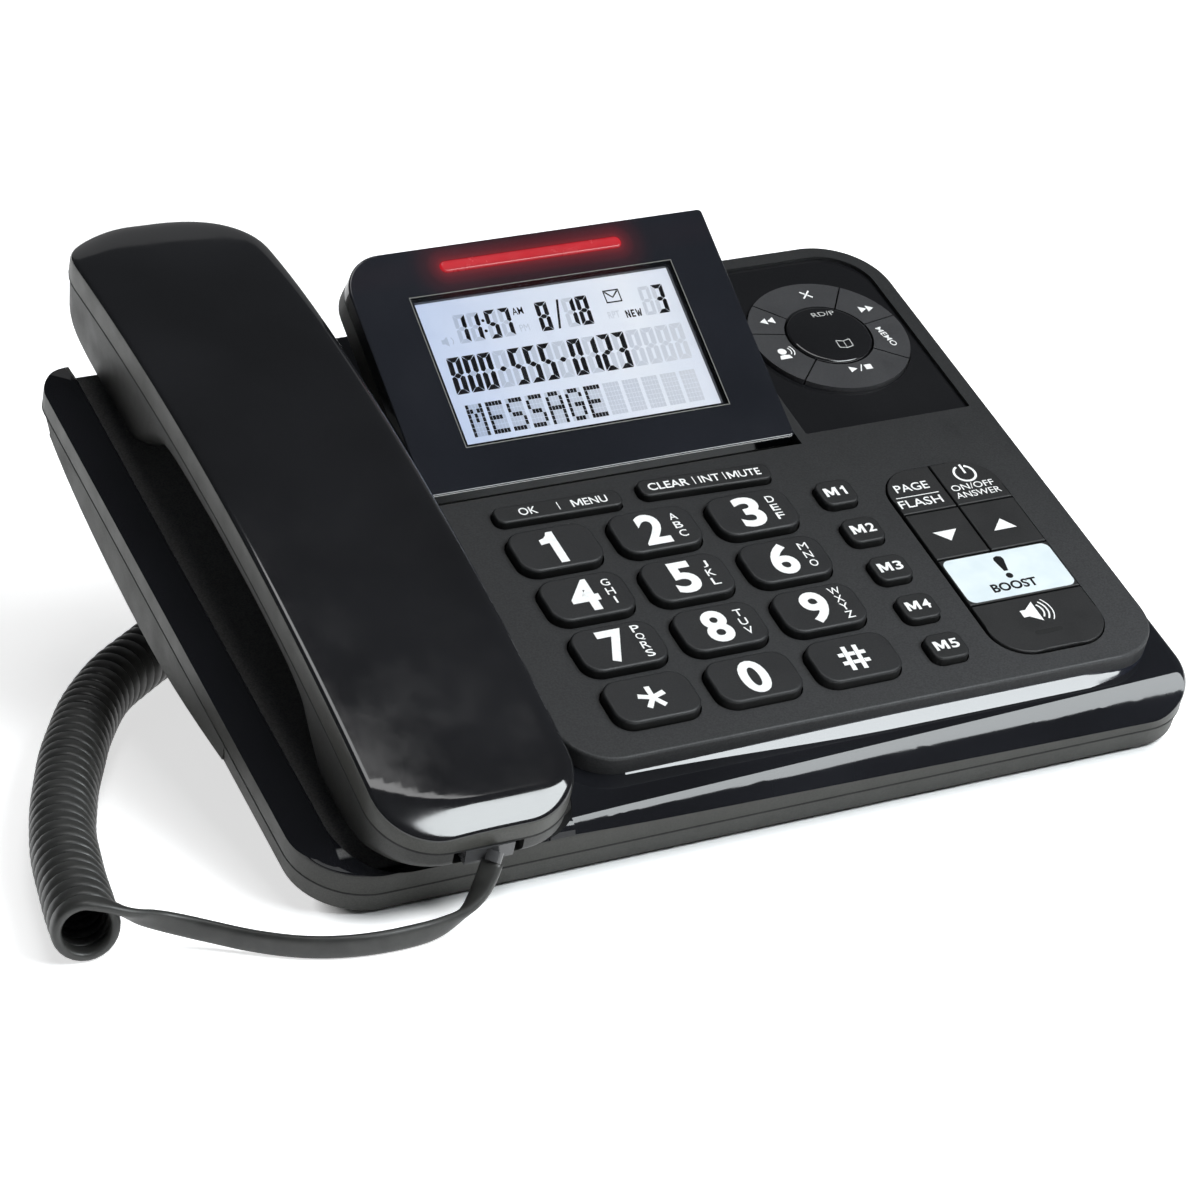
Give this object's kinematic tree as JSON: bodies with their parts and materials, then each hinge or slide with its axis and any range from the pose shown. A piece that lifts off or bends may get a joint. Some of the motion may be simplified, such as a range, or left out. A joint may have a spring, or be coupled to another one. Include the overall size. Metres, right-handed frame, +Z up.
{
  "type": "answering machine",
  "caption": "Black corded desk telephone with built-in answering machine: tilted deck with large dial keys, tilting display, arched handset in a side trough and a curly cord.",
  "frame": {"origin": "centre of the footprint on the table, without the cord", "axes": "+Z up, +X to the user's right, -Y towards the user"},
  "size_m": [0.283, 0.2062, 0.1034],
  "materials": {
    "gloss_black": "gloss",
    "dark_case": "fine texture",
    "matte_deck": "fine texture",
    "key_plastic": "satin",
    "key_gloss": "gloss",
    "pad_rubber": "matte",
    "screw_steel": "zinc",
    "board": "satin",
    "speaker_black": "satin",
    "jack_plastic": "satin",
    "plug_clear": "clear",
    "cord_rubber": "satin",
    "lens": "clear",
    "lcd": "lit",
    "glow": "translucent red",
    "plunger_plastic": "satin"
  },
  "bodies": {
    "base": {"upper_case": "gloss_black", "lower_case": "dark_case", "faceplate": "matte_deck", "nav_plate": "gloss_black", "desk_stand": "dark_case", "rubber_feet": "pad_rubber", "case_screws": "screw_steel", "main_board": "board", "keypad_membrane": "pad_rubber", "loudspeaker": "speaker_black", "base_jack": "jack_plastic", "rear_jack_block": "jack_plastic", "cord_coil": "cord_rubber", "cord_lead": "cord_rubber", "base_lead": "cord_rubber", "base_plug": "plug_clear"},
    "hook": {"hook_plunger": "plunger_plastic"},
    "display": {"display_bezel": "gloss_black", "display_back": "dark_case", "display_lens": "lens", "lcd_module": "lcd", "light_bar": "glow"},
    "handset": {"handset_upper": "gloss_black", "handset_lower": "dark_case", "handset_receiver": "speaker_black", "handset_microphone": "speaker_black", "handset_jack": "jack_plastic", "handset_plug": "plug_clear"},
    "key_1_body": {"key_1": "key_plastic"},
    "key_2_body": {"key_2": "key_plastic"},
    "key_3_body": {"key_3": "key_plastic"},
    "key_4_body": {"key_4": "key_plastic"},
    "key_5_body": {"key_5": "key_plastic"},
    "key_6_body": {"key_6": "key_plastic"},
    "key_7_body": {"key_7": "key_plastic"},
    "key_8_body": {"key_8": "key_plastic"},
    "key_9_body": {"key_9": "key_plastic"},
    "key_star_body": {"key_star": "key_plastic"},
    "key_0_body": {"key_0": "key_plastic"},
    "key_hash_body": {"key_hash": "key_plastic"},
    "ok_menu_bar_body": {"ok_menu_bar": "key_plastic"},
    "clear_mute_bar_body": {"clear_mute_bar": "key_plastic"},
    "memory_key_1_body": {"memory_key_1": "key_plastic"},
    "memory_key_2_body": {"memory_key_2": "key_plastic"},
    "memory_key_3_body": {"memory_key_3": "key_plastic"},
    "memory_key_4_body": {"memory_key_4": "key_plastic"},
    "memory_key_5_body": {"memory_key_5": "key_plastic"},
    "nav_forward_key_body": {"nav_forward_key": "key_plastic"},
    "nav_delete_key_body": {"nav_delete_key": "key_plastic"},
    "nav_rewind_key_body": {"nav_rewind_key": "key_plastic"},
    "nav_announce_key_body": {"nav_announce_key": "key_plastic"},
    "nav_play_key_body": {"nav_play_key": "key_plastic"},
    "nav_memo_key_body": {"nav_memo_key": "key_plastic"},
    "nav_centre_key_body": {"nav_centre_key": "key_gloss"},
    "page_flash_key_body": {"page_flash_key": "key_plastic"},
    "answer_power_key_body": {"answer_power_key": "key_plastic"},
    "volume_down_key_body": {"volume_down_key": "key_plastic"},
    "volume_up_key_body": {"volume_up_key": "key_plastic"},
    "boost_key_body": {"boost_key": "key_plastic"},
    "speaker_key_body": {"speaker_key": "key_plastic"}
  },
  "joints": [
    {"name": "display_tilt", "type": "hinge", "parent": "base", "child": "display", "pos_m": [0.00545, 0.0109, 0.05322], "axis": [1, 0, 0], "range_deg": [-20, 20]},
    {"name": "handset_lift", "type": "slide", "parent": "base", "child": "handset", "axis": [0, -0.3746, 0.9272], "range_m": [0, 0.06]},
    {"name": "hook_switch", "type": "slide", "parent": "base", "child": "hook", "axis": [0, -0.3746, 0.9272], "range_m": [0, 0.004]},
    {"name": "key_1_press", "type": "slide", "parent": "base", "child": "key_1_body", "axis": [0, 0.3746, -0.9272], "range_m": [0, 0.0012], "stiffness_N_per_m": 400, "springref_m": -0.0008},
    {"name": "key_2_press", "type": "slide", "parent": "base", "child": "key_2_body", "axis": [0, 0.3746, -0.9272], "range_m": [0, 0.0012], "stiffness_N_per_m": 400, "springref_m": -0.0008},
    {"name": "key_3_press", "type": "slide", "parent": "base", "child": "key_3_body", "axis": [0, 0.3746, -0.9272], "range_m": [0, 0.0012], "stiffness_N_per_m": 400, "springref_m": -0.0008},
    {"name": "key_4_press", "type": "slide", "parent": "base", "child": "key_4_body", "axis": [0, 0.3746, -0.9272], "range_m": [0, 0.0012], "stiffness_N_per_m": 400, "springref_m": -0.0008},
    {"name": "key_5_press", "type": "slide", "parent": "base", "child": "key_5_body", "axis": [0, 0.3746, -0.9272], "range_m": [0, 0.0012], "stiffness_N_per_m": 400, "springref_m": -0.0008},
    {"name": "key_6_press", "type": "slide", "parent": "base", "child": "key_6_body", "axis": [0, 0.3746, -0.9272], "range_m": [0, 0.0012], "stiffness_N_per_m": 400, "springref_m": -0.0008},
    {"name": "key_7_press", "type": "slide", "parent": "base", "child": "key_7_body", "axis": [0, 0.3746, -0.9272], "range_m": [0, 0.0012], "stiffness_N_per_m": 400, "springref_m": -0.0008},
    {"name": "key_8_press", "type": "slide", "parent": "base", "child": "key_8_body", "axis": [0, 0.3746, -0.9272], "range_m": [0, 0.0012], "stiffness_N_per_m": 400, "springref_m": -0.0008},
    {"name": "key_9_press", "type": "slide", "parent": "base", "child": "key_9_body", "axis": [0, 0.3746, -0.9272], "range_m": [0, 0.0012], "stiffness_N_per_m": 400, "springref_m": -0.0008},
    {"name": "key_star_press", "type": "slide", "parent": "base", "child": "key_star_body", "axis": [0, 0.3746, -0.9272], "range_m": [0, 0.0012], "stiffness_N_per_m": 400, "springref_m": -0.0008},
    {"name": "key_0_press", "type": "slide", "parent": "base", "child": "key_0_body", "axis": [0, 0.3746, -0.9272], "range_m": [0, 0.0012], "stiffness_N_per_m": 400, "springref_m": -0.0008},
    {"name": "key_hash_press", "type": "slide", "parent": "base", "child": "key_hash_body", "axis": [0, 0.3746, -0.9272], "range_m": [0, 0.0012], "stiffness_N_per_m": 400, "springref_m": -0.0008},
    {"name": "ok_menu_bar_press", "type": "slide", "parent": "base", "child": "ok_menu_bar_body", "axis": [0, 0.3746, -0.9272], "range_m": [0, 0.0012], "stiffness_N_per_m": 400, "springref_m": -0.0008},
    {"name": "clear_mute_bar_press", "type": "slide", "parent": "base", "child": "clear_mute_bar_body", "axis": [0, 0.3746, -0.9272], "range_m": [0, 0.0012], "stiffness_N_per_m": 400, "springref_m": -0.0008},
    {"name": "memory_key_1_press", "type": "slide", "parent": "base", "child": "memory_key_1_body", "axis": [0, 0.3746, -0.9272], "range_m": [0, 0.0012], "stiffness_N_per_m": 400, "springref_m": -0.0008},
    {"name": "memory_key_2_press", "type": "slide", "parent": "base", "child": "memory_key_2_body", "axis": [0, 0.3746, -0.9272], "range_m": [0, 0.0012], "stiffness_N_per_m": 400, "springref_m": -0.0008},
    {"name": "memory_key_3_press", "type": "slide", "parent": "base", "child": "memory_key_3_body", "axis": [0, 0.3746, -0.9272], "range_m": [0, 0.0012], "stiffness_N_per_m": 400, "springref_m": -0.0008},
    {"name": "memory_key_4_press", "type": "slide", "parent": "base", "child": "memory_key_4_body", "axis": [0, 0.3746, -0.9272], "range_m": [0, 0.0012], "stiffness_N_per_m": 400, "springref_m": -0.0008},
    {"name": "memory_key_5_press", "type": "slide", "parent": "base", "child": "memory_key_5_body", "axis": [0, 0.3746, -0.9272], "range_m": [0, 0.0012], "stiffness_N_per_m": 400, "springref_m": -0.0008},
    {"name": "nav_forward_key_press", "type": "slide", "parent": "base", "child": "nav_forward_key_body", "axis": [0, 0.3746, -0.9272], "range_m": [0, 0.001], "stiffness_N_per_m": 400, "springref_m": -0.0008},
    {"name": "nav_delete_key_press", "type": "slide", "parent": "base", "child": "nav_delete_key_body", "axis": [0, 0.3746, -0.9272], "range_m": [0, 0.001], "stiffness_N_per_m": 400, "springref_m": -0.0008},
    {"name": "nav_rewind_key_press", "type": "slide", "parent": "base", "child": "nav_rewind_key_body", "axis": [0, 0.3746, -0.9272], "range_m": [0, 0.001], "stiffness_N_per_m": 400, "springref_m": -0.0008},
    {"name": "nav_announce_key_press", "type": "slide", "parent": "base", "child": "nav_announce_key_body", "axis": [0, 0.3746, -0.9272], "range_m": [0, 0.001], "stiffness_N_per_m": 400, "springref_m": -0.0008},
    {"name": "nav_play_key_press", "type": "slide", "parent": "base", "child": "nav_play_key_body", "axis": [0, 0.3746, -0.9272], "range_m": [0, 0.001], "stiffness_N_per_m": 400, "springref_m": -0.0008},
    {"name": "nav_memo_key_press", "type": "slide", "parent": "base", "child": "nav_memo_key_body", "axis": [0, 0.3746, -0.9272], "range_m": [0, 0.001], "stiffness_N_per_m": 400, "springref_m": -0.0008},
    {"name": "nav_centre_key_press", "type": "slide", "parent": "base", "child": "nav_centre_key_body", "axis": [0, 0.3746, -0.9272], "range_m": [0, 0.001], "stiffness_N_per_m": 400, "springref_m": -0.0008},
    {"name": "page_flash_key_press", "type": "slide", "parent": "base", "child": "page_flash_key_body", "axis": [0, 0.3746, -0.9272], "range_m": [0, 0.0012], "stiffness_N_per_m": 400, "springref_m": -0.0008},
    {"name": "answer_power_key_press", "type": "slide", "parent": "base", "child": "answer_power_key_body", "axis": [0, 0.3746, -0.9272], "range_m": [0, 0.0012], "stiffness_N_per_m": 400, "springref_m": -0.0008},
    {"name": "volume_down_key_press", "type": "slide", "parent": "base", "child": "volume_down_key_body", "axis": [0, 0.3746, -0.9272], "range_m": [0, 0.0012], "stiffness_N_per_m": 400, "springref_m": -0.0008},
    {"name": "volume_up_key_press", "type": "slide", "parent": "base", "child": "volume_up_key_body", "axis": [0, 0.3746, -0.9272], "range_m": [0, 0.0012], "stiffness_N_per_m": 400, "springref_m": -0.0008},
    {"name": "boost_key_press", "type": "slide", "parent": "base", "child": "boost_key_body", "axis": [0, 0.3746, -0.9272], "range_m": [0, 0.0012], "stiffness_N_per_m": 400, "springref_m": -0.0008},
    {"name": "speaker_key_press", "type": "slide", "parent": "base", "child": "speaker_key_body", "axis": [0, 0.3746, -0.9272], "range_m": [0, 0.0012], "stiffness_N_per_m": 400, "springref_m": -0.0008}
  ],
  "couplings": [
    {"joint": "hook_switch", "follows": "handset_lift", "ratio": 0.0666}
  ]
}
